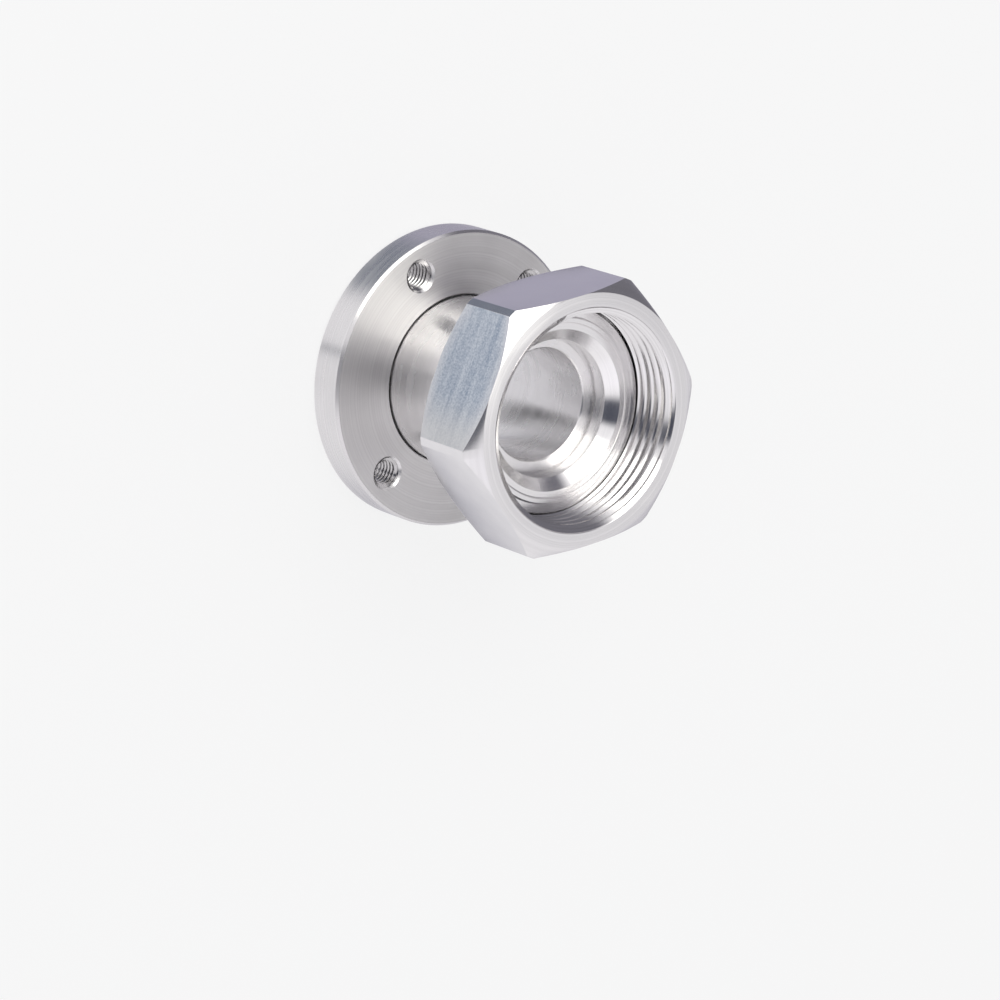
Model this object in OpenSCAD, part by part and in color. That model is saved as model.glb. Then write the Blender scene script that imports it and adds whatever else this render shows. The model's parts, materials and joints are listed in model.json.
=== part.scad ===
// Compressor adapter fitting: a turned spud that carries a loose bolting flange at its rear
// and a captive hexagon swivel nut at its front. All sizes are in millimetres.
// The axis of the fitting is Z. The flange's rear face lies on Z = 0, and the nut opens upwards.

/* [Swivel nut] */
// Root diameter of the nut's inside thread
thread_d = 44.5; // [42:0.1:48]
// Pitch of the nut's inside thread, twelve turns to the inch
thread_pitch = 2.117; // [1.5:0.001:2.5]
// Wall between the thread's root and a flat of the hexagon
nut_wall = 2.95; // [1.8:0.05:5]
// Height of the nut
nut_h = 18; // [15.5:0.1:26]
// Thickness of the lip at the nut's rear, which pulls on the collar
nut_lip_t = 3; // [2:0.1:4.5]
// How much is turned off each sharp corner of the hexagon
corner_cut = 0.47; // [0.2:0.01:1]
// Slope of the turned cones at both ends of the hexagon, in degrees
cone_slope = 35; // [20:1:45]
// Edge of each end face that stands out past the flats
face_rim = 0.1; // [0.05:0.01:0.4]
// Height of the smooth relief between the lip and the thread
relief_h = 3.3; // [2:0.1:5]
// Depth of the smooth relief behind the thread
relief_deep = 0.35; // [0.1:0.05:0.8]
// Height of the slant that leads into the thread at the nut's mouth
lead_in_h = 0.9; // [0.5:0.05:1.2]
// Angle at which a corner of the hexagon rests, in degrees
nut_turn = 47.5; // [0:0.5:59.5]

/* [Spud] */
// Free length of tube between the flange and the collar
neck_len = 26; // [22:0.5:60]
// Thickness of the collar under its outer land
collar_t = 4.75; // [4.3:0.05:7]
// How far the collar stands out past the tube
collar_lip_w = 3.8; // [3:0.1:6]
// Wall between the tube's outside and the seat
tube_wall = 3.1; // [2.9:0.1:5]
// Width of the shoulder at the bottom of the seat
shoulder_w = 2.6; // [1.6:0.1:4]
// Depth of the seat's straight wall above the shoulder
seat_deep = 3.65; // [2.5:0.05:4.5]
// Width of the polished cone that leads into the seat
seat_cone_w = 2.3; // [1.2:0.1:2.8]
// Height of the polished cone
seat_cone_h = 1.9; // [1:0.1:2.4]
// Reach of the relief in the seat's corner, down, up and inwards
seat_relief = 0.6; // [0.2:0.05:1]

/* [Sealing face of the collar] */
// Width of the outer land, beside the nut's thread
outer_land_w = 2; // [0.8:0.05:2.2]
// Width of the sloped step up to the raised ring
step_w = 0.35; // [0.2:0.05:0.5]
// Width of the raised ring
bead_w = 0.75; // [0.5:0.05:1.2]
// Height of the raised ring above the outer land
bead_h = 0.55; // [0.3:0.05:0.9]
// Width of the fine groove inside the raised ring
face_groove_w = 0.35; // [0.2:0.05:0.5]
// Depth of the fine groove below the raised ring
face_groove_deep = 0.45; // [0.3:0.05:0.8]
// Height of the inner land above the outer land
inner_land_h = 0.3; // [0.1:0.05:0.5]

/* [Flange] */
// Thickness of the flange
flange_t = 8; // [5:0.5:14]
// Chamfer round both faces of the flange
flange_edge = 0.5; // [0.2:0.05:1]
// Metal between a countersink and the flange's rim
rim_web = 2.34; // [1.2:0.01:12]
// Metal between a countersink and the recess in the flange's rear face
hole_web = 2.41; // [1:0.01:8]
// Angle of each tapped hole from the X axis, in degrees
hole_angle = 35; // [20:0.5:70]
// Root diameter of the tapped holes
screw_d = 6.1; // [4.8:0.1:7]
// Width of the countersink round each tapped hole
screw_sink = 0.45; // [0.2:0.05:0.8]

/* [Retaining ring] */
// Thickness of the split ring behind the flange
ring_t = 1.6; // [1:0.1:2]
// Width of the split ring, across its section
ring_w = 2; // [1.5:0.1:2.4]
// Depth of the ring's groove in the tube
ring_bite = 1; // [0.6:0.05:1.3]
// Height of the split ring above the flange's rear face
ring_set = 1.6; // [1:0.1:1.8]
// Width of the slit in the ring
ring_slit = 3; // [1:0.5:8]

/* [Rear seal] */
// Thickness of the rubber ring's section
seal_t = 2; // [1.5:0.1:2.2]
// How far the spud's rear face stands back from the flange's
spud_set_back = 0.3; // [0.15:0.05:0.5]

/* [Fits] */
// Running gap between the spud and the pieces that turn on it
swivel_gap = 0.3; // [0.2:0.05:0.5]
// Gap between the collar and the crest of the nut's thread
collar_gap = 0.3; // [0.2:0.05:0.5]
// Gap between the split ring and the wall of the flange's recess
recess_gap = 0.4; // [0.2:0.05:0.6]
// Slack of the split ring at the bottom of its groove
ring_slack = 0.1; // [0.05:0.01:0.2]
// Slack of the rubber ring at each side of its groove
seal_slack = 0.2; // [0.1:0.05:0.4]
// Small chamfer on the turned edges
edge = 0.25; // [0.1:0.05:0.4]

/* [Hidden] */
$fn = 144;
over = 1;

// A sixty-degree inside thread, for each millimetre of pitch: depth, flat crest and flat root
depth_per_pitch = 0.5413;
crest_per_pitch = 0.25;
root_per_pitch = 0.125;
// Height of the rubber ring above the bench, and its play at the groove's bottom
seal_lift = 0.05;
seal_play = 0.03;
// How deep the corner relief cuts into the seat's wall
relief_bite = 0.15;

// Radii, from the thread inwards
thread_r = thread_d / 2;
relief_r = thread_r + relief_deep;
crest_r = thread_r - thread_pitch * depth_per_pitch;
collar_r = crest_r - collar_gap;
tube_r = collar_r - collar_lip_w;
seat_r = tube_r - tube_wall;
flow_r = seat_r - shoulder_w;
swivel_r = tube_r + swivel_gap;

// Radii of the rings on the sealing face, from the collar's edge inwards
step_out_r = collar_r - outer_land_w;
bead_out_r = step_out_r - step_w;
bead_in_r = bead_out_r - bead_w;
land_out_r = bead_in_r - face_groove_w;
cone_out_r = seat_r + seat_cone_w;

// Outer radius of the relief in the seat's corner
relief_out_r = seat_r + relief_bite;

// Heights along the spud
spud_z = spud_set_back;
collar_z = flange_t + neck_len;
outer_land_z = collar_z + collar_t;
inner_land_z = outer_land_z + inner_land_h;
bead_z = outer_land_z + bead_h;
cone_low_z = inner_land_z - seat_cone_h;
shoulder_z = cone_low_z - seat_deep;

// Radii and heights of the nut
flat_r = thread_r + nut_wall;
corner_r = flat_r / cos(30) - corner_cut;
face_r = flat_r + face_rim;
cone_h = (corner_r - face_r) * tan(cone_slope);
nut_z = collar_z - swivel_gap - nut_lip_t;
nut_top_z = nut_z + nut_h;
lip_z = nut_z + nut_lip_t;
thread_z = lip_z + relief_h;

// Height that the full turns keep clear of the sealing face
thread_clear = 0.6;
// Ridges of the nut's thread, each drawn as a ring, spread evenly between that height and the mouth
ridge_low_z = bead_z + thread_clear;
ridge_count = round((nut_top_z - edge - ridge_low_z) / thread_pitch);
ridge_mid_z = (nut_top_z - edge + ridge_low_z) / 2;
crest_half = thread_pitch * crest_per_pitch / 2;
ridge_half = thread_pitch * (1 - root_per_pitch) / 2;

// Split ring, its groove and the flange's recess
ring_groove_r = tube_r - ring_bite;
ring_in_r = ring_groove_r + ring_slack;
ring_out_r = ring_in_r + ring_w;
ring_top_z = ring_set + ring_t;
recess_r = ring_out_r + recess_gap;
recess_z = ring_top_z + swivel_gap;

// Tapped holes: a rectangle of four on one circle, and the rim outside them
screw_r = screw_d / 2;
sink_r = screw_r + screw_sink;
hole_circle_r = recess_r + hole_web + sink_r;
hole_x = hole_circle_r * cos(hole_angle);
hole_y = hole_circle_r * sin(hole_angle);
flange_r = hole_circle_r + sink_r + rim_web;

// Rubber ring, midway between the bore and the split ring's groove
seal_mid_r = (flow_r + ring_groove_r) / 2;
seal_z = seal_lift + seal_t / 2;
seal_groove_w = seal_t + 2 * seal_slack;
seal_groove_z = seal_lift + seal_t + seal_play;

// Half-section of the spud, from its rear face up the outside and down the bore
spud_section = [
    [flow_r + edge, spud_z],
    [tube_r - edge, spud_z],
    [tube_r, spud_z + edge],
    [tube_r, collar_z],
    [collar_r - edge, collar_z],
    [collar_r, collar_z + edge],
    [collar_r, outer_land_z - edge],
    [collar_r - edge, outer_land_z],
    [step_out_r, outer_land_z],
    [bead_out_r, bead_z],
    [bead_in_r, bead_z],
    [bead_in_r - face_groove_w / 2, bead_z - face_groove_deep],
    [land_out_r, inner_land_z],
    [cone_out_r, inner_land_z],
    [seat_r, cone_low_z],
    [seat_r, shoulder_z + seat_relief],
    [relief_out_r, shoulder_z + seat_relief],
    [relief_out_r, shoulder_z - seat_relief],
    [seat_r - seat_relief, shoulder_z - seat_relief],
    [seat_r - seat_relief, shoulder_z],
    [flow_r + edge, shoulder_z],
    [flow_r, shoulder_z - edge],
    [flow_r, spud_z + edge]
];

// Half-section of the flange, with its bore and the recess in its rear face
flange_section = [
    [recess_r + edge, 0],
    [flange_r - flange_edge, 0],
    [flange_r, flange_edge],
    [flange_r, flange_t - flange_edge],
    [flange_r - flange_edge, flange_t],
    [swivel_r + edge, flange_t],
    [swivel_r, flange_t - edge],
    [swivel_r, recess_z],
    [recess_r, recess_z],
    [recess_r, edge]
];

// Outer half-section of the nut, which turns the corners of the hexagon
nut_turning = [
    [0, nut_z],
    [face_r, nut_z],
    [corner_r, nut_z + cone_h],
    [corner_r, nut_top_z - cone_h],
    [face_r, nut_top_z],
    [0, nut_top_z]
];

// Half-section of the nut's inside: lip, relief, thread's root and mouth, without the ridges
nut_cavity = [
    [0, nut_z - over],
    [swivel_r + edge + over, nut_z - over],
    [swivel_r, nut_z + edge],
    [swivel_r, lip_z],
    [relief_r, lip_z],
    [relief_r, thread_z - relief_deep],
    [thread_r, thread_z],
    [thread_r, nut_top_z - edge],
    [thread_r + edge + over, nut_top_z + over],
    [0, nut_top_z + over]
];

// Half-section of the slant that turns the thread's crest away at the mouth
lead_in = [
    [0, nut_top_z - lead_in_h],
    [crest_r, nut_top_z - lead_in_h],
    [thread_r + edge, nut_top_z],
    [0, nut_top_z]
];

// A ring of rectangular section, for grooves and for the split ring
module flat_ring(inner, outer, low, high) {
    rotate_extrude()
        translate([inner, low])
            square([outer - inner, high - low]);
}

// One ridge of the nut's thread in half-section, from its root in the wall to its crest
module ridge(mid_z) {
    polygon([
        [thread_r + relief_deep, mid_z - ridge_half],
        [thread_r, mid_z - ridge_half],
        [crest_r, mid_z - crest_half],
        [crest_r, mid_z + crest_half],
        [thread_r, mid_z + ridge_half],
        [thread_r + relief_deep, mid_z + ridge_half]
    ]);
}

// A tapped hole's root cylinder with a countersink at both faces of the flange
module screw_hole() {
    rotate_extrude()
        polygon([
            [0, -over],
            [sink_r + over, -over],
            [screw_r, screw_sink],
            [screw_r, flange_t - screw_sink],
            [sink_r + over, flange_t + over],
            [0, flange_t + over]
        ]);
}

module spud() {
    color("gainsboro")
        difference() {
            rotate_extrude() polygon(spud_section);
            flat_ring(ring_groove_r, tube_r + over, ring_set, ring_top_z + seal_play);
            flat_ring(seal_mid_r - seal_groove_w / 2, seal_mid_r + seal_groove_w / 2,
                      spud_z - over, seal_groove_z);
        }
}

module flange() {
    color("silver")
        difference() {
            rotate_extrude() polygon(flange_section);
            for (x = [-1, 1], y = [-1, 1])
                translate([x * hole_x, y * hole_y, 0])
                    screw_hole();
        }
}

module swivel_nut() {
    color("lightsteelblue")
        difference() {
            intersection() {
                rotate([0, 0, nut_turn])
                    translate([0, 0, nut_z])
                        linear_extrude(nut_h)
                            circle(r = flat_r / cos(30), $fn = 6);
                rotate_extrude() polygon(nut_turning);
            }
            rotate_extrude()
                difference() {
                    polygon(nut_cavity);
                    for (i = [0 : ridge_count - 1])
                        ridge(ridge_mid_z + (i - (ridge_count - 1) / 2) * thread_pitch);
                }
            rotate_extrude() polygon(lead_in);
        }
}

module retaining_ring() {
    color("dimgray")
        difference() {
            flat_ring(ring_in_r, ring_out_r, ring_set, ring_top_z);
            translate([-ring_slit / 2, -ring_out_r - over, ring_set - over])
                cube([ring_slit, ring_out_r + over, ring_t + 2 * over]);
        }
}

module o_ring() {
    color("black")
        rotate_extrude()
            translate([seal_mid_r, seal_z])
                circle(d = seal_t, $fn = 48);
}

spud();
flange();
swivel_nut();
retaining_ring();
o_ring();
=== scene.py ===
# %% [markdown]
# A compressor adapter fitting, dressed for its picture
#
# The real fitting is three turned steel pieces: a tube with a sealing collar (the spud), a loose
# bolting flange at its rear, and a captive hexagon nut round the collar. Their exact shapes come
# from a CAD model, so Blender is left with what CAD is poor at: cut threads, tool marks, and light.
# We load the CAD model first. It is a fixed frame: every piece below is placed from its sizes.

# %% Load the frame
import json
from math import atan2, cos, degrees, hypot, pi, radians, sin

import bpy
from mathutils import Matrix, Vector


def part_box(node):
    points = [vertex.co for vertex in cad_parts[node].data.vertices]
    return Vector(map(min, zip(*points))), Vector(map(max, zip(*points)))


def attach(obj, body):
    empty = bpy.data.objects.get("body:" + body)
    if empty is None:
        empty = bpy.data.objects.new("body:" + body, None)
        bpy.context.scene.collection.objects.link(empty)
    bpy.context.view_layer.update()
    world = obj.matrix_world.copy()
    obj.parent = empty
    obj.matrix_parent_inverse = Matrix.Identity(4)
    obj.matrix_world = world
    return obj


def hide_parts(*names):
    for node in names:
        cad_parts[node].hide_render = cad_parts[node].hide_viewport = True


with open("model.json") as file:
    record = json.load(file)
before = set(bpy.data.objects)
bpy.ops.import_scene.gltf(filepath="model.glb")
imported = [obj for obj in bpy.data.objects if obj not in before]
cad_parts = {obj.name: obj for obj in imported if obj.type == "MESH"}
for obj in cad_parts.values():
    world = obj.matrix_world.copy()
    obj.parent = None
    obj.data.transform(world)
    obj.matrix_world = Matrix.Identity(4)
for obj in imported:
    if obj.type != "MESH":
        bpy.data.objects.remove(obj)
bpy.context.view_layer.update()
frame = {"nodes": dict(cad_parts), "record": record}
nodes = frame["nodes"]
mounts = {m["name"]: m for m in frame["record"]["mounts"]}
MM = 0.001
print("pieces from CAD:", sorted(nodes))

# %% [markdown]
# An operator acts on everything that is selected, and a freshly loaded model is selected all over.
# So each modelling step below starts from an empty selection, which this small helper gives.

# %% Empty the selection
def select_nothing():
    if bpy.context.object and bpy.context.object.mode != "OBJECT":
        bpy.ops.object.mode_set(mode="OBJECT")
    bpy.ops.object.select_all(action="DESELECT")


select_nothing()

# %% [markdown]
# The camera is a long lens from about 0.9 m, looking steeply down past the nut at the flange. A
# long lens keeps the circles nearly true ellipses, as product pictures do. The picture was also
# turned in its plane, so that the fitting seems to lie on its side. We give the camera its place
# and the direction of its own right and up axes, which is clearer than three rotation angles.

# %% Camera
CAMERA_PLACE = Vector((-0.10900, -0.55927, 0.69051))
CAMERA_RIGHT = Vector((-0.16846, 0.76965, 0.61585)).normalized()
CAMERA_UP = Vector((-0.97458, -0.03642, -0.22108))
LENS_IN_MM, SENSOR_IN_MM = 159.6, 36
NEAREST, FURTHEST = 0.01, 20

camera_data = bpy.data.cameras.new("camera")
camera_data.lens = LENS_IN_MM
camera_data.sensor_width = SENSOR_IN_MM
camera_data.clip_start = NEAREST
camera_data.clip_end = FURTHEST
camera = bpy.data.objects.new("camera", camera_data)
bpy.context.scene.collection.objects.link(camera)
back = CAMERA_RIGHT.cross(CAMERA_UP).normalized()
up = back.cross(CAMERA_RIGHT)
camera.matrix_world = Matrix((
    (CAMERA_RIGHT.x, up.x, back.x, CAMERA_PLACE.x),
    (CAMERA_RIGHT.y, up.y, back.y, CAMERA_PLACE.y),
    (CAMERA_RIGHT.z, up.z, back.z, CAMERA_PLACE.z),
    (0, 0, 0, 1),
))
bpy.context.scene.camera = camera
bpy.context.scene.view_settings.view_transform = "Standard"
print("camera looks down at", round(degrees(atan2(back.z, hypot(back.x, back.y)))), "degrees")

# %% [markdown]
# Materials and the studio are both built from shader nodes. Writing each node out in full would
# bury the idea under plumbing, so this little class adds a node, wires its inputs and hands back
# its output. An input that is given a socket is linked, and one that is given a number is just set.

# %% A short way to write shader nodes
class Shader:
    def __init__(self, owner):
        owner.use_nodes = True
        self.tree = owner.node_tree
        self.tree.nodes.clear()

    def node(self, kind, inputs=(), output=0, **settings):
        made = self.tree.nodes.new("ShaderNode" + kind)
        for name, value in settings.items():
            setattr(made, name, value)
        for name, value in dict(inputs).items():
            socket = made.inputs[name]
            if isinstance(value, bpy.types.NodeSocket):
                self.tree.links.new(value, socket)
            else:
                socket.default_value = value
        return made.outputs[output] if made.outputs else None

    def math(self, operation, *values):
        return self.node("Math", dict(enumerate(values)), operation=operation)

    def ramp(self, value, low, high, to_low=0.0, to_high=1.0, smooth=False):
        inputs = {0: value, 1: low, 2: high, 3: to_low, 4: to_high}
        kind = "SMOOTHSTEP" if smooth else "LINEAR"
        return self.node("MapRange", inputs, interpolation_type=kind)

    def blend(self, factor, first, second):
        """Goes from one number to another, as far as the factor says."""
        return self.node("Mix", {"Factor": factor, 2: first, 3: second}, data_type="FLOAT")

    def mix(self, factor, first, second):
        """Goes from one colour to another, as far as the factor says."""
        inputs = {"Factor": factor, 6: first, 7: second}
        return self.node("Mix", inputs, output=2, data_type="RGBA")

    def tinted(self, factor, first, second):
        """Multiplies a colour by another one, as far as the factor says."""
        product = self.mix(factor, first, second)
        product.node.blend_type = "MULTIPLY"
        return product


def colour(red, green, blue):
    return (red, green, blue, 1.0)


# %% [markdown]
# Bright metal has almost no colour of its own: it shows the room. In the picture the room is a
# pale tent with one large softbox, a bright sheet overhead and a window. Between them are darker
# things: the corner where the camera stands, a screen on one side, a bench, and the gaps below the
# lights. We describe that room as a list of cards with soft edges, each at a compass bearing and a
# height over the table. A later card covers an earlier one. Only reflections see the cards. The
# camera sees plain white paper, and matt surfaces are lit by an even white, so colours render
# about as they are written.

# %% The room that the metal mirrors
PAPER = colour(0.947, 0.947, 0.947)
EVEN_LIGHT = colour(0.78, 0.78, 0.79)
TENT = colour(0.915, 0.90, 0.92)

# Name, bearing and height in degrees, half width, half height, softness, colour
CARDS = [
    ("far wall", 84, 42, 22, 16, 10, colour(0.78, 0.77, 0.79)),
    ("side screen", 131, 17, 31, 34, 6, colour(0.17, 0.165, 0.19)),
    ("low side screen", 138, -46, 36, 36, 12, colour(0.45, 0.43, 0.53)),
    ("far bench", 56, -46, 38, 36, 24, colour(0.54, 0.53, 0.58)),
    ("gap under the softbox", 190, -46, 29, 36, 8, colour(0.20, 0.22, 0.27)),
    ("slit", 268, -46, 3, 36, 2, colour(0.45, 0.45, 0.48)),
    ("window", 336, 47, 20, 16, 9, colour(1.03, 1.01, 1.05)),
    ("sheet overhead", 140, 74, 62, 13, 8, colour(1.8, 1.78, 1.70)),
    ("camera corner", 284, 57, 20, 27, 8, colour(0.07, 0.075, 0.10)),
    ("softbox", 204, 51, 33, 25, 5, colour(2.8, 2.76, 2.64)),
]

world = bpy.data.worlds.new("studio")
bpy.context.scene.world = world
sky = Shader(world)
direction = sky.node("TexCoord", output="Generated")
toward = sky.node("SeparateXYZ", {0: direction}).node.outputs
bearing = sky.math("DEGREES", sky.math("ARCTAN2", toward["Y"], toward["X"]))
height = sky.math("DEGREES", sky.math("ARCSINE", toward["Z"]))
room = TENT
for _, card_bearing, card_height, half_width, half_height, soft, tint in CARDS:
    across = sky.math("WRAP", sky.math("SUBTRACT", bearing, card_bearing), 180, -180)
    beside = sky.math("ABSOLUTE", across)
    above = sky.math("ABSOLUTE", sky.math("SUBTRACT", height, card_height))
    in_width = sky.ramp(beside, half_width + soft, half_width - soft, smooth=True)
    in_height = sky.ramp(above, half_height + soft, half_height - soft, smooth=True)
    room = sky.mix(sky.math("MULTIPLY", in_width, in_height), room, tint)
ray = sky.node("LightPath").node.outputs
seen = sky.math("MAXIMUM", ray["Is Camera Ray"], ray["Is Transmission Ray"])
lit = sky.mix(ray["Is Glossy Ray"], EVEN_LIGHT, room)
background = sky.node("Background", {"Color": sky.mix(seen, lit, PAPER)})
sky.node("OutputWorld", {"Surface": background})
print("cards in the room:", [card[0] for card in CARDS])

# %% [markdown]
# One area lamp stands about where the softbox card is. It gives the matt rubber and the table a
# direction of light and a soft shadow. Reflections already have the card, so the lamp hides from
# them.

# %% Softbox lamp
LAMP_FAR = 1.1
LAMP_WIDE, LAMP_TALL = 0.9, 0.6
LAMP_WATTS = 2.4
LAMP_BEARING, LAMP_HEIGHT = radians(206), radians(49)

lamp_data = bpy.data.lights.new("softbox", "AREA")
lamp_data.shape = "RECTANGLE"
lamp_data.size = LAMP_WIDE
lamp_data.size_y = LAMP_TALL
lamp_data.energy = LAMP_WATTS
lamp = bpy.data.objects.new("softbox", lamp_data)
bpy.context.scene.collection.objects.link(lamp)
lamp.location = LAMP_FAR * Vector((
    cos(LAMP_HEIGHT) * cos(LAMP_BEARING),
    cos(LAMP_HEIGHT) * sin(LAMP_BEARING),
    sin(LAMP_HEIGHT),
))
lamp.rotation_euler = lamp.location.to_track_quat("Z", "Y").to_euler()
lamp.visible_glossy = False
print("lamp stands at", [round(value, 2) for value in lamp.location], "m")

# %% [markdown]
# The table is a white disc that fades out before its edge, so that it joins the white paper behind
# it without a line. To the camera it is mostly washed out to that paper, which leaves a faint
# shadow. Reflections look through it: the fitting was lit from all round, and a solid white table
# would fill every upright face with the same flat white. A camera under the table looks through
# it too, so that the rear of the fitting can be seen. The table lies a hair below the flange,
# because two surfaces in one place make a blotchy picture.

# %% Table
TABLE_R, TABLE_SIDES = 0.6, 96
TABLE_WHITE = colour(0.93, 0.93, 0.93)
TABLE_Z = -0.05 * MM
FADE_FROM, FADE_TO = 0.22, TABLE_R * 0.95
WASH = 0.82

select_nothing()
bpy.ops.mesh.primitive_circle_add(
    vertices=TABLE_SIDES, radius=TABLE_R, fill_type="NGON", location=(0, 0, TABLE_Z)
)
table = bpy.context.object
table.name = "table"
table_material = bpy.data.materials.new("table_white")
table.data.materials.append(table_material)
white = Shader(table_material)
on_table = white.node("TexCoord", output="Object")
from_middle = white.node("VectorMath", {0: on_table}, output="Value", operation="LENGTH")
fade = white.ramp(from_middle, FADE_FROM, FADE_TO, smooth=True)
ray = white.node("LightPath").node.outputs
below = white.node("NewGeometry", output="Backfacing")
unseen = white.math("MAXIMUM", ray["Is Glossy Ray"], below)
see_through = white.math("MAXIMUM", fade, unseen)
matt = white.node("BsdfDiffuse", {"Color": TABLE_WHITE})
glow = white.node("Emission", {"Color": PAPER, "Strength": 1.0})
wash = white.math("MULTIPLY", ray["Is Camera Ray"], WASH)
washed = white.node("MixShader", {0: wash, 1: matt, 2: glow})
clear = white.node("BsdfTransparent")
surface = white.node("MixShader", {0: see_through, 1: washed, 2: clear})
white.node("OutputMaterial", {"Surface": surface})
print("table:", TABLE_R, "m in radius, fades out from", FADE_FROM, "m")

# %% [markdown]
# The far end of the bore looks onto the table, where the fitting shades part of it. Reflections
# look through our table, so a small disc just under the bore stands for that spot: pale, with a
# dark stripe. It shows only in reflections, and gives the dark band along the bore's wall.

# %% Table spot under the bore
SPOT_R, SPOT_Z, SPOT_SIDES = 11.2 * MM, -0.4 * MM, 48
SPOT_PALE, SPOT_DARK = colour(0.76, 0.75, 0.78), colour(0.02, 0.02, 0.025)
STRIPE_FROM, STRIPE_TO, STRIPE_END = -7.4 * MM, -2.0 * MM, 4.0 * MM
SOFT_FROM, SOFT_TO, SOFT_END = 0.5 * MM, 1.2 * MM, 1.0 * MM

select_nothing()
bpy.ops.mesh.primitive_circle_add(
    vertices=SPOT_SIDES, radius=SPOT_R, fill_type="NGON", location=(0, 0, SPOT_Z)
)
spot = bpy.context.object
spot.name = "spot_under_bore"
spot.visible_camera = spot.visible_diffuse = spot.visible_shadow = False
spot_material = bpy.data.materials.new("table_spot")
spot.data.materials.append(spot_material)
floor = Shader(spot_material)
on_spot = floor.node("SeparateXYZ", {0: floor.node("TexCoord", output="Object")}).node.outputs
after = floor.ramp(on_spot["X"], STRIPE_FROM - SOFT_FROM, STRIPE_FROM + SOFT_FROM)
before = floor.ramp(on_spot["X"], STRIPE_TO + SOFT_TO, STRIPE_TO - SOFT_TO)
short = floor.ramp(on_spot["Y"], STRIPE_END + SOFT_END, STRIPE_END - SOFT_END)
stripe = floor.math("MULTIPLY", floor.math("MULTIPLY", after, before), short)
spot_tint = floor.mix(stripe, SPOT_PALE, SPOT_DARK)
floor.node("OutputMaterial", {"Surface": floor.node("Emission", {"Color": spot_tint})})
print("spot:", round(SPOT_R / MM, 1), "mm in radius")

# %% [markdown]
# Every turned surface carries a spiral of fine tool marks round the axis. One number describes the
# tool's way over the work: radius plus height. It runs across a face, along a tube and up a cone,
# so noise along that one number gives rings on all of them. Wide, faint rings come from the tool's
# chatter, narrow ones from its feed. The marks also stretch the highlights across themselves, which
# is what the anisotropic setting of the metal does: it makes the bright fans of a turned face.

# %% Turned steel
FEED_PER_MM, CHATTER_PER_MM, SOIL_PER_MM = 2.4, 0.5, 0.12
FEED_HEIGHT, FEED_SHADE, CHATTER_SHADE = 0.5, 0.6, 0.4
SOIL_MIDDLE, SOIL_ROUGHER = (0.35, 0.75), (-0.02, 0.05)
MIDDLE = (0.3, 0.7)  # Most values of a noise lie in this range
QUARTER_TURN = 0.25


def tool_way(shader):
    """The place on the piece, the radius and height there, and the tool's way in millimetres."""
    place = shader.node("TexCoord", output="Object")
    along = shader.node("SeparateXYZ", {0: place}).node.outputs
    flat = shader.node("CombineXYZ", {"X": along["X"], "Y": along["Y"]})
    radius = shader.node("VectorMath", {0: flat}, output="Value", operation="LENGTH")
    way = shader.math("DIVIDE", shader.math("ADD", radius, along["Z"]), MM)
    return place, radius, along["Z"], way


def rings(shader, way, per_mm, detail):
    inputs = {"W": shader.math("MULTIPLY", way, per_mm), "Scale": 1.0, "Detail": detail}
    return shader.node("TexNoise", inputs, noise_dimensions="1D")


def tool_marks(shader, way):
    """Narrow and wide rings, and the height that both give the surface."""
    fine = rings(shader, way, FEED_PER_MM, 1.0)
    broad = rings(shader, way, CHATTER_PER_MM, 2.0)
    height = shader.math("ADD", shader.math("MULTIPLY", fine, FEED_HEIGHT), broad)
    return fine, broad, height


def smudges(shader, place, per_mm):
    return shader.node("TexNoise", {"Vector": place, "Scale": per_mm / MM, "Detail": 3.0})


def finish_metal(shader, tint, roughness, normal, anisotropy):
    inputs = {
        "Base Color": tint,
        "Metallic": 1.0,
        "Roughness": roughness,
        "Anisotropic": anisotropy,
        "Anisotropic Rotation": QUARTER_TURN,
        "Normal": normal,
        "Tangent": shader.node("Tangent", direction_type="RADIAL", axis="Z"),
    }
    metal = shader.node("BsdfPrincipled", inputs)
    shader.node("OutputMaterial", {"Surface": metal})


def turned(name, light, dark, roughness, spread, depth, anisotropy, change=None):
    """Steel with tool marks round the axis. change may alter the tint and roughness in places."""
    material = bpy.data.materials.new(name)
    shader = Shader(material)
    place, radius, level, way = tool_way(shader)
    fine, broad, height = tool_marks(shader, way)
    soil = smudges(shader, place, SOIL_PER_MM)
    narrow = shader.math("MULTIPLY", fine, FEED_SHADE)
    wide = shader.math("MULTIPLY", broad, CHATTER_SHADE)
    shade = shader.math("ADD", narrow, wide)
    tint = shader.mix(shader.ramp(shade, *MIDDLE), dark, light)
    rough = shader.ramp(broad, *MIDDLE, roughness - spread, roughness + spread)
    rough = shader.math("ADD", rough, shader.ramp(soil, *SOIL_MIDDLE, *SOIL_ROUGHER))
    if change:
        tint, rough = change(shader, tint, rough, radius, level)
    bump = {"Height": height, "Distance": depth * MM, "Strength": 1.0}
    finish_metal(shader, tint, rough, shader.node("Bump", bump), anisotropy)
    print(name, "has", len(shader.tree.nodes), "nodes")
    return material


# %% [markdown]
# The spud is the best finished piece. Its lead-in cone and the lands of the sealing face are smooth
# enough to mirror, while the bore behind them is only reamed. So its roughness drops between the
# seat's wall and the collar's edge, above the seat.

# %% Finish of the spud
CONE_IN, CONE_OUT = 13.9 * MM, 20.7 * MM
CONE_LOW = 37.1 * MM
EDGE_SOFT = 0.05 * MM
CONE_ROUGHNESS = 0.6


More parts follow.
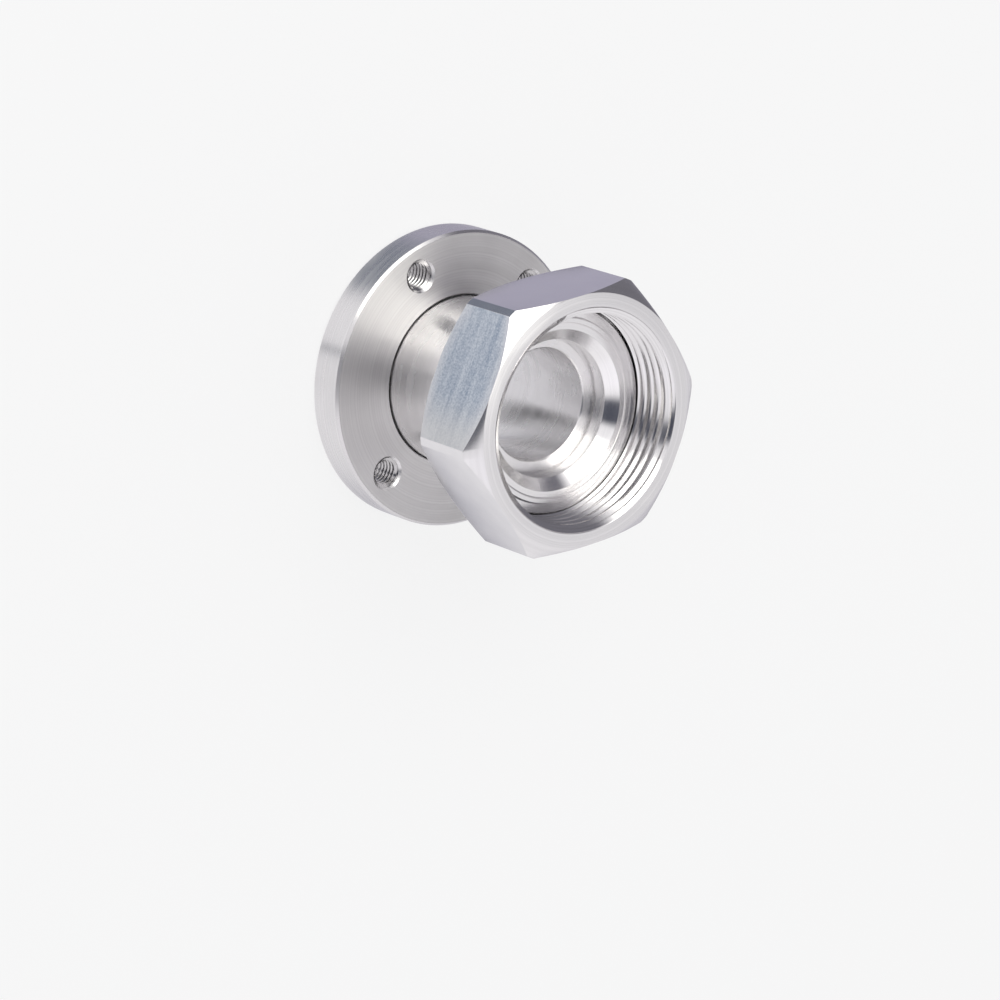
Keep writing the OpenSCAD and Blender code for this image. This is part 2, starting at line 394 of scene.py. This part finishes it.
def polished_cone(shader, tint, rough, radius, level):
    inside = shader.ramp(radius, CONE_OUT + EDGE_SOFT, CONE_OUT)
    outside = shader.ramp(radius, CONE_IN, CONE_IN + EDGE_SOFT)
    above = shader.ramp(level, CONE_LOW, CONE_LOW + EDGE_SOFT)
    on_cone = shader.math("MULTIPLY", shader.math("MULTIPLY", inside, outside), above)
    share = shader.ramp(on_cone, 0.0, 1.0, 1.0, CONE_ROUGHNESS)
    return tint, shader.math("MULTIPLY", rough, share)


spud_steel = turned(
    "fine_turned_steel", light=colour(0.93, 0.92, 0.92), dark=colour(0.87, 0.86, 0.865),
    roughness=0.25, spread=0.02, depth=0.0004, anisotropy=0.85, change=polished_cone,
)

# %% [markdown]
# The flange is a plainer piece. Its rim was turned with a fine feed and is bright, and its faces
# were left satin: darker, rougher, and a little warm. A face looks straight up or down, so the
# surface normal tells the material where the faces are.

# %% Finish of the flange
SATIN = colour(0.92, 0.915, 0.91)
SATIN_ROUGHER = 0.15
FACE_FROM, FACE_TO = 0.8, 0.95


def satin_faces(shader, tint, rough, radius, level):
    facing = shader.node("TexCoord", output="Normal")
    upward = shader.math("ABSOLUTE", shader.node("SeparateXYZ", {0: facing}, output="Z"))
    on_face = shader.ramp(upward, FACE_FROM, FACE_TO)
    satin = shader.tinted(on_face, tint, SATIN)
    return satin, shader.math("ADD", rough, shader.math("MULTIPLY", on_face, SATIN_ROUGHER))


flange_steel = turned(
    "face_turned_steel", light=colour(0.85, 0.845, 0.845), dark=colour(0.75, 0.74, 0.745),
    roughness=0.27, spread=0.03, depth=0.0005, anisotropy=0.95, change=satin_faces,
)

# %% [markdown]
# The nut is cut from hexagon bar. Its ends and bore are turned, and its flats are smooth, apart
# from one that still has the skin of the bar: speckled like frost, with long uneven streaks round
# the nut. That flat is also painted blue-grey, a painted reflection of the dim blue-grey part of
# the room, and painted paler towards one corner. First we find out where a point lies.
# On a flat the surface normal has no upward part, and its bearing says which flat it is.

# %% Finish of the nut
# The skin flat faces this bearing. Its blue-grey tint is a painted reflection.
SKIN_BEARING = radians(257.5)
SKIN_TURN = (cos(SKIN_BEARING), sin(SKIN_BEARING), 0.0)
OUTER_FROM, OUTER_TO = 24.0 * MM, 24.5 * MM
UPRIGHT_WITHIN = 0.2
SKIN_FROM, SKIN_TO = 0.985, 0.995


def parts_of_nut(shader, radius):
    """How far a point is on a hexagon flat, and on the skin flat with its painted reflection."""
    facing = shader.node("TexCoord", output="Normal")
    upward = shader.node("SeparateXYZ", {0: facing}, output="Z")
    outer = shader.ramp(radius, OUTER_FROM, OUTER_TO)
    upright = shader.math("COMPARE", upward, 0.0, UPRIGHT_WITHIN)
    on_flat = shader.math("MULTIPLY", upright, outer)
    pair = {0: facing, 1: SKIN_TURN}
    likeness = shader.node("VectorMath", pair, output="Value", operation="DOT_PRODUCT")
    faces_there = shader.ramp(likeness, SKIN_FROM, SKIN_TO)
    return on_flat, shader.math("MULTIPLY", faces_there, on_flat)


# %% [markdown]
# The skin's streaks are a noise that is squeezed along the axis and stretched round it, and its
# frost is a fine noise. The turned places have the same tool marks as the other pieces, and the
# smooth flats only faint clouds. Each of the three gives a height, a colour and a roughness, and
# the two answers from the cell above choose between them.

# %% Steel of the hexagon bar
STREAK_PER_MM, SPECK_PER_MM, CLOUD_PER_MM = 0.7, 2.6, 0.25
ALONG_AND_ROUND = (0.09, 0.09, 1.0)
STREAK_HEIGHT, SPECK_HEIGHT = 1.5, 3.0
SMOOTH_ROUGHNESS = (0.20, 0.26)
SKIN_MIDDLE, SKIN_ROUGHNESS = (0.38, 0.62), (0.34, 0.44)
PALER_TINT = colour(0.80, 0.79, 0.76)
PALER_FROM, PALER_TO, PALER_SHARE = -3.0 * MM, 7.0 * MM, 0.6
MOUTH_IN, MOUTH_OUT, MOUTH_ROUGHNESS = 22.6 * MM, 23.0 * MM, 0.62
NUT_MARKS_DEPTH = 0.0010 * MM


def hexagon_steel():
    material = bpy.data.materials.new("hexagon_bar_steel")
    shader = Shader(material)
    place, radius, _, way = tool_way(shader)
    on_flat, on_skin_painted_reflection = parts_of_nut(shader, radius)

    fine, broad, turned_height = tool_marks(shader, way)
    cloud = smudges(shader, place, CLOUD_PER_MM)
    stretch = {"Vector": place, "Scale": ALONG_AND_ROUND}
    squeezed = shader.node("Mapping", stretch, vector_type="POINT")
    grain = {"Vector": squeezed, "Scale": STREAK_PER_MM / MM, "Detail": 4.0, "Roughness": 0.65}
    streak = shader.node("TexNoise", grain)
    frost = {"Vector": place, "Scale": SPECK_PER_MM / MM, "Detail": 2.0}
    speck = shader.node("TexNoise", frost)

    streak_height = shader.math("MULTIPLY", streak, STREAK_HEIGHT)
    speck_height = shader.math("MULTIPLY", speck, SPECK_HEIGHT)
    skin_height = shader.math("ADD", streak_height, speck_height)
    height = shader.blend(on_flat, turned_height, cloud)
    height = shader.blend(on_skin_painted_reflection, height, skin_height)
    bump = {"Height": height, "Distance": NUT_MARKS_DEPTH, "Strength": 1.0}
    normal = shader.node("Bump", bump)

    dark, light = colour(0.78, 0.77, 0.775), colour(0.84, 0.83, 0.835)
    turned_tint = shader.mix(shader.ramp(fine, *MIDDLE), dark, light)
    dark, light = colour(0.78, 0.775, 0.785), colour(0.82, 0.815, 0.82)
    flat_tint = shader.mix(shader.ramp(cloud, *MIDDLE), dark, light)
    shade = shader.math("MULTIPLY", shader.math("ADD", streak, speck), 0.5)
    # Blue-grey of the skin flat: a painted reflection, varied by its real streaks and specks.
    dark, light = colour(0.30, 0.36, 0.45), colour(0.60, 0.65, 0.71)
    skin_and_painted_reflection_tint = shader.mix(shader.ramp(shade, *SKIN_MIDDLE), dark, light)
    side = shader.node("SeparateXYZ", {0: place}, output="X")
    # Paler and cream towards one corner of the skin flat.
    toward_corner = shader.ramp(side, PALER_FROM, PALER_TO, 0.0, PALER_SHARE, smooth=True)
    skin_and_painted_reflection_tint = shader.mix(toward_corner, skin_and_painted_reflection_tint, PALER_TINT)
    tint = shader.mix(on_skin_painted_reflection, shader.mix(on_flat, turned_tint, flat_tint), skin_and_painted_reflection_tint)

    turned_rough = shader.ramp(broad, *MIDDLE, *SMOOTH_ROUGHNESS)
    flat_rough = shader.ramp(cloud, *MIDDLE, *SMOOTH_ROUGHNESS)
    skin_rough = shader.ramp(shade, *SKIN_MIDDLE, *SKIN_ROUGHNESS)
    rough = shader.blend(on_skin_painted_reflection, shader.blend(on_flat, turned_rough, flat_rough), skin_rough)
    in_mouth = shader.ramp(radius, MOUTH_IN, MOUTH_OUT, MOUTH_ROUGHNESS, 1.0)
    rough = shader.math("MULTIPLY", rough, in_mouth)
    finish_metal(shader, tint, rough, normal, anisotropy=0.5)
    print(material.name, "has", len(shader.tree.nodes), "nodes")
    return material


nut_steel = hexagon_steel()

# %% [markdown]
# Their steel is also painted darker: painted shade that stands for the shade inside the holes.
# A tap cuts the screw holes and tears a little, so their threads are uneven.
# The split ring behind the flange is plain blue-grey spring steel, and the seal is matt black
# rubber with a bloom.

# %% Finishes of the small pieces
TEARS_PER_MM, TEAR_DEPTH = 2.5, 0.002 * MM
BLOOM_PER_MM, GRAIN_PER_MM, GRAIN_DEPTH = 0.5, 9.0, 0.01 * MM


def tapped_steel():
    """Tapped hole's steel: uneven where the tap tore, and painted darker as shade in the hole."""
    material = bpy.data.materials.new("tapped_steel")
    shader = Shader(material)
    place = shader.node("TexCoord", output="Object")
    torn = smudges(shader, place, TEARS_PER_MM)
    metal = shader.node("BsdfPrincipled", {
        # Both colours are low: painted shade for the inside of the holes. The tear noise mixes
        # them.
        "Base Color": shader.mix(torn, colour(0.46, 0.45, 0.455), colour(0.68, 0.67, 0.67)),
        "Metallic": 1.0,
        "Roughness": shader.ramp(torn, *MIDDLE, 0.12, 0.20),
        "Normal": shader.node("Bump", {"Height": torn, "Distance": TEAR_DEPTH}),
    })
    shader.node("OutputMaterial", {"Surface": metal})
    return material


def rubber():
    material = bpy.data.materials.new("seal_rubber_black")
    shader = Shader(material)
    place = shader.node("TexCoord", output="Object")
    bloom = smudges(shader, place, BLOOM_PER_MM)
    grain = smudges(shader, place, GRAIN_PER_MM)
    skin = shader.node("BsdfPrincipled", {
        "Base Color": shader.mix(bloom, colour(0.018, 0.018, 0.019), colour(0.045, 0.044, 0.043)),
        "Roughness": shader.ramp(bloom, *MIDDLE, 0.45, 0.65),
        "Normal": shader.node("Bump", {"Height": grain, "Distance": GRAIN_DEPTH}),
    })
    shader.node("OutputMaterial", {"Surface": skin})
    return material


tap_steel_painted_shade = tapped_steel()
ring_steel = turned(
    "spring_steel", light=colour(0.44, 0.45, 0.48), dark=colour(0.34, 0.35, 0.38),
    roughness=0.36, spread=0.05, depth=0.0015, anisotropy=0.3,
)
seal_rubber = rubber()
print("small finishes:", tap_steel_painted_shade.name, ring_steel.name, seal_rubber.name)

# %% [markdown]
# The CAD pieces keep their shape and their place. Each gets its finish by putting our material in
# its first material slot.

# %% Dress the CAD pieces
FINISHES = {
    "spud": spud_steel,
    "flange": flange_steel,
    "retaining_ring": ring_steel,
    "o_ring": seal_rubber,
}
for name, material in FINISHES.items():
    nodes[name].material_slots[0].material = material
print("dressed:", {name: material.name for name, material in FINISHES.items()})

# %% [markdown]
# A lathe makes solids of revolution. In edit mode that is a disc whose face is extruded up the axis
# and scaled to the next radius, again and again. The helper below does it from a list of stations.
# A second helper combines two solids with the Boolean modifier and applies it, as a maker would cut
# one with the other.

# %% Turn a solid, and combine two solids
ROUND_STEPS = 288


def turn_solid(name, stations):
    """A closed solid of revolution about Z. Stations are heights and radii, the lowest first."""
    select_nothing()
    low, first_r = stations[0]
    bpy.ops.mesh.primitive_circle_add(
        vertices=ROUND_STEPS, radius=first_r, fill_type="NGON", location=(0, 0, low)
    )
    solid = bpy.context.object
    solid.name = solid.data.name = name
    bpy.ops.object.transform_apply(location=True, rotation=False, scale=False)
    bpy.ops.object.mode_set(mode="EDIT")
    bpy.ops.mesh.select_all(action="SELECT")
    for (z, radius), (next_z, next_r) in zip(stations, stations[1:]):
        rise = {"value": (0, 0, next_z - z)}
        bpy.ops.mesh.extrude_region_move(TRANSFORM_OT_translate=rise)
        share = next_r / radius
        bpy.ops.transform.resize(value=(share, share, 1), center_override=(0, 0, next_z))
    bpy.ops.mesh.select_all(action="SELECT")
    bpy.ops.mesh.normals_make_consistent(inside=False)
    bpy.ops.object.mode_set(mode="OBJECT")
    return solid


def combine(piece, other, operation):
    """Cuts, joins or intersects a piece with another one, which is used up."""
    boolean = piece.modifiers.new("combine", "BOOLEAN")
    boolean.operation = operation
    boolean.object = other
    boolean.solver = "EXACT"
    select_nothing()
    bpy.context.view_layer.objects.active = piece
    piece.select_set(True)
    bpy.ops.object.modifier_apply(modifier=boolean.name)
    bpy.data.objects.remove(other)


# %% [markdown]
# A thread is a ridge that climbs round a wall: one small profile, carried round the axis and up by
# one pitch each turn. We draw the profile as a plane, pull its inner edge narrow in edit mode to
# get the sixty-degree flanks, and let the Screw modifier carry it round. Its base is sunk a little
# into the wall, so that no gap can show.

# %% A ridge that climbs round a wall
THREAD_SINK = 0.05 * MM
CREST_PER_PITCH = 0.25
ROOT_PER_PITCH = 0.125
DEPTH_PER_PITCH = 0.5413
FLANKS_SMOOTH_BELOW = radians(30)


def select_points(piece, wanted):
    """Selects the points that the test wants, and leaves the piece in edit mode."""
    bpy.ops.object.mode_set(mode="EDIT")
    bpy.ops.mesh.select_all(action="DESELECT")
    bpy.ops.object.mode_set(mode="OBJECT")
    for vertex in piece.data.vertices:
        vertex.select = wanted(vertex.co)
    bpy.ops.object.mode_set(mode="EDIT")


def climbing_ridge(name, base_r, crest_r, pitch, low, turns, steps):
    middle = (base_r + crest_r) / 2
    base_h = pitch * (1 - ROOT_PER_PITCH)
    crest_h = pitch * CREST_PER_PITCH
    select_nothing()
    bpy.ops.mesh.primitive_plane_add(size=1.0, location=(middle, 0, low), rotation=(pi / 2, 0, 0))
    ridge = bpy.context.object
    ridge.name = ridge.data.name = name
    ridge.scale = (base_r - crest_r, base_h, 1)
    bpy.ops.object.transform_apply(location=True, rotation=True, scale=True)
    select_points(ridge, lambda co: co.x < middle)
    bpy.ops.transform.resize(value=(1, 1, crest_h / base_h), center_override=(crest_r, 0, low))
    bpy.ops.mesh.select_all(action="SELECT")
    bpy.ops.mesh.delete(type="ONLY_FACE")
    bpy.ops.object.mode_set(mode="OBJECT")
    screw = ridge.modifiers.new("climb", "SCREW")
    screw.axis = "Z"
    screw.angle = 2 * pi * turns
    screw.screw_offset = pitch * turns
    screw.steps = screw.render_steps = round(steps * turns)
    bpy.ops.object.modifier_apply(modifier=screw.name)
    bpy.ops.object.mode_set(mode="EDIT")
    bpy.ops.mesh.select_all(action="DESELECT")
    bpy.ops.mesh.select_non_manifold()
    bpy.ops.mesh.fill_holes(sides=0)
    bpy.ops.mesh.select_all(action="SELECT")
    bpy.ops.mesh.normals_make_consistent(inside=False)
    bpy.ops.object.mode_set(mode="OBJECT")
    return ridge


# %% [markdown]
# At both ends of a real thread the crest is turned away at a slant, so that a screw can start. So
# the ridge is made a turn too long at each end, and a turned solid that is narrow in the middle and
# flares at its ends cuts the surplus off.

# %% Cut a thread
def cut_thread(name, root_r, pitch, low, high, slant_h, steps):
    """The ridge of an inside thread about Z, between two heights on a wall of radius root_r."""
    base_r = root_r + THREAD_SINK
    crest_r = root_r - DEPTH_PER_PITCH * pitch
    turns = (high - low) / pitch + 2
    ridge = climbing_ridge(name, base_r, crest_r, pitch, low - pitch, turns, steps)
    flare_r = base_r + THREAD_SINK
    waist_r = crest_r - THREAD_SINK
    clear = turn_solid("clear", [
        (low - 2 * pitch, flare_r),
        (low, flare_r),
        (low + slant_h, waist_r),
        (high - slant_h, waist_r),
        (high, flare_r),
        (high + 2 * pitch, flare_r),
    ])
    combine(ridge, clear, "DIFFERENCE")
    bpy.ops.object.shade_smooth_by_angle(angle=FLANKS_SMOOTH_BELOW)
    print(name, "turns", round(turns - 2, 2), "faces", len(ridge.data.polygons))
    return ridge


# %% [markdown]
# The nut starts as a six-sided bar. The turned outline takes its sharp corners down to a narrow
# band and puts a cone on each end: where a cone meets a flat it leaves the curved edge that every
# hexagon nut has. A bevel of nearly a tenth of a millimetre then breaks all the edges, as a file
# does, so that they catch the light.

# %% Outside of the nut
ACROSS_FLATS = 50.4 * MM
CORNER_CUT = 0.47 * MM
FACE_RIM = 0.1 * MM
CONE_SLOPE = radians(35)
NUT_TURN = radians(47.5)
BROKEN_EDGE = 0.09 * MM
EDGES_OVER = radians(20)

nut_low, nut_high = (corner.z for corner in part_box("swivel_nut"))
sharp_r = ACROSS_FLATS / 2 / cos(radians(30))
corner_r = sharp_r - CORNER_CUT
face_r = ACROSS_FLATS / 2 + FACE_RIM
cone_h = (corner_r - face_r) * sin(CONE_SLOPE) / cos(CONE_SLOPE)

select_nothing()
bpy.ops.mesh.primitive_cylinder_add(
    vertices=6, radius=sharp_r, depth=nut_high - nut_low,
    location=(0, 0, (nut_low + nut_high) / 2),
)
nut = bpy.context.object
nut.name = nut.data.name = "threaded_nut"
bpy.ops.object.transform_apply(location=True, rotation=False, scale=False)
first = max(nut.data.vertices, key=lambda v: v.co.y)
turn_to = NUT_TURN - atan2(first.co.y, first.co.x)
nut.data.transform(Matrix.Rotation(turn_to, 4, "Z"))
outline = turn_solid("outline", [
    (nut_low, face_r),
    (nut_low + cone_h, corner_r),
    (nut_high - cone_h, corner_r),
    (nut_high, face_r),
])
combine(nut, outline, "INTERSECT")
bevel = nut.modifiers.new("broken_edges", "BEVEL")
bevel.width = BROKEN_EDGE
bevel.segments = 2
bevel.limit_method = "ANGLE"
bevel.angle_limit = EDGES_OVER
bpy.ops.object.modifier_apply(modifier=bevel.name)
print("hexagon:", len(nut.data.polygons), "faces")

# %% [markdown]
# Inside, the nut has a lip that runs on the tube and pulls on the collar, a relief where the
# threading tool runs out, and the thread's wall. The record gives the radius of the thread's crest;
# the wall is one thread depth further out. The mouth has a slant that leads the screw in.

# %% Inside of the nut
INCH = 25.4 * MM
NUT_PITCH = INCH / 12
LIP_T = 3.0 * MM
LIP_BORE = 17.304 * MM
RELIEF_DEEP = 0.35 * MM
THREAD_LOW = 37.0 * MM
EDGE = 0.25 * MM
LEAD_IN = 0.9 * MM
BEYOND = 1.0 * MM

crest_r = mounts["nut_thread"]["dims"]["r_mm"] * MM
wall_r = crest_r + DEPTH_PER_PITCH * NUT_PITCH
space = turn_solid("space", [
    (nut_low - BEYOND, LIP_BORE + EDGE + BEYOND),
    (nut_low + EDGE, LIP_BORE),
    (nut_low + LIP_T, LIP_BORE),
    (nut_low + LIP_T, wall_r + RELIEF_DEEP),
    (THREAD_LOW - RELIEF_DEEP, wall_r + RELIEF_DEEP),
    (THREAD_LOW, wall_r),
    (nut_high - EDGE, wall_r),
    (nut_high + BEYOND, wall_r + EDGE + BEYOND),
])
combine(nut, space, "DIFFERENCE")
print("thread from radius", round(wall_r / MM, 3), "to", round(crest_r / MM, 3), "mm")

# %% [markdown]
# The thread is a 1-3/4 inch one with twelve turns to the inch. Its ridge is joined to the wall, so
# that the nut stays one body, and the finished nut stands for the plain one of the CAD model.

# %% Thread of the nut
NUT_START = radians(-148)
STEPS_PER_TURN = 144
NUT_SMOOTH_BELOW = radians(24)

nut_thread = cut_thread(
    "nut_thread", wall_r, NUT_PITCH, THREAD_LOW, nut_high, LEAD_IN, STEPS_PER_TURN
)
nut_thread.data.transform(Matrix.Rotation(NUT_START, 4, "Z"))
combine(nut, nut_thread, "UNION")
nut.data.materials.clear()
nut.data.materials.append(nut_steel)
select_nothing()
bpy.context.view_layer.objects.active = nut
nut.select_set(True)
bpy.ops.object.shade_smooth_by_angle(angle=NUT_SMOOTH_BELOW)
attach(nut, "nut")
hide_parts("swivel_nut")
print("nut:", len(nut.data.polygons), "faces")

# %% [markdown]
# The four screw holes have a coarse M6 thread, with a pitch of 1 mm. One is cut on the axis. Three
# holes get a copy of it, each with its own mesh, and the fourth takes the one that was cut. The
# record has the rectangle that the holes stand on.

# %% Threads of the screw holes
HOLE_PITCH = 1.0 * MM
HOLE_SLANT = 0.5 * MM
COUNTERSINK = 0.45 * MM
HOLE_STEPS = 60

holes = mounts["flange_holes"]["dims"]
hole_r = holes["hole_r_mm"] * MM
flange_low, flange_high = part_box("flange")
tap_low, tap_high = flange_low.z + COUNTERSINK, flange_high.z - COUNTERSINK
tap = cut_thread(
    "hole_thread_4", hole_r, HOLE_PITCH, tap_low, tap_high, HOLE_SLANT, HOLE_STEPS
)
tap.data.materials.append(tap_steel_painted_shade)
half_x, half_y = holes["spacing_x_mm"] * MM / 2, holes["spacing_y_mm"] * MM / 2
corners = [(x, y) for x in (-half_x, half_x) for y in (-half_y, half_y)]
for number, (x, y) in enumerate(corners, start=1):
    thread = tap if number == 4 else bpy.data.objects.new("hole_thread", tap.data.copy())
    thread.name = thread.data.name = f"hole_thread_{number}"
    if number < 4:
        bpy.context.scene.collection.objects.link(thread)
    thread.data.transform(Matrix.Translation((x, y, 0)))
    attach(thread, "flange")
print("screw holes at", [(round(x / MM), round(y / MM)) for x, y in corners], "mm")
